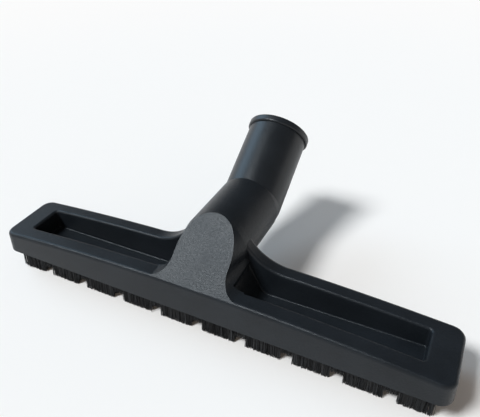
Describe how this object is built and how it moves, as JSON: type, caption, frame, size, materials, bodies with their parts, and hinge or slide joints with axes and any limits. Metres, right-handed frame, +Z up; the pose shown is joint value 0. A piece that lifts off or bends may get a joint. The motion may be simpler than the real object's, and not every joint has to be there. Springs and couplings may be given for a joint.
{
  "type": "vacuum floor brush head",
  "caption": "Long narrow vacuum floor head with two brush strips, recessed top trays, small rear wheels and a swivelling angled tube with a wand socket.",
  "frame": {"origin": "on the floor plane of the bristle tips, under the middle of the whole head's bounding box", "axes": "+X along the brush to the right, +Y backwards along the neck to the wand, +Z up"},
  "size_m": [0.3, 0.146, 0.0947],
  "materials": {
    "black_abs": "fine grain",
    "natural_acetal": "smooth",
    "zinc_steel": "bright zinc",
    "black_bristle": "bristle",
    "axle_steel": "drawn",
    "wheel_plastic": "smooth",
    "tyre_rubber": "smooth"
  },
  "bodies": {
    "body": {"housing": "black_abs", "front_strip_channel": "zinc_steel", "rear_strip_channel": "zinc_steel", "front_core_wire": "zinc_steel", "rear_core_wire": "zinc_steel", "front_bristles": "black_bristle", "rear_bristles": "black_bristle", "left_axle": "axle_steel", "right_axle": "axle_steel"},
    "swivel": {"swivel_tube": "black_abs", "swivel_retaining_ring": "natural_acetal"},
    "left_wheel": {"left_wheel_hub": "wheel_plastic", "left_tyre": "tyre_rubber"},
    "right_wheel": {"right_wheel_hub": "wheel_plastic", "right_tyre": "tyre_rubber"}
  },
  "joints": [
    {"name": "tube_swivel", "type": "hinge", "parent": "body", "child": "swivel", "pos_m": [0, 0.00745, 0.0455], "axis": [0, 1, 0], "continuous": true},
    {"name": "left_wheel_spin", "type": "hinge", "parent": "body", "child": "left_wheel", "pos_m": [-0.14, -0.04355, 0.014], "axis": [1, 0, 0], "continuous": true},
    {"name": "right_wheel_spin", "type": "hinge", "parent": "body", "child": "right_wheel", "pos_m": [0.14, -0.04355, 0.014], "axis": [1, 0, 0], "continuous": true}
  ]
}
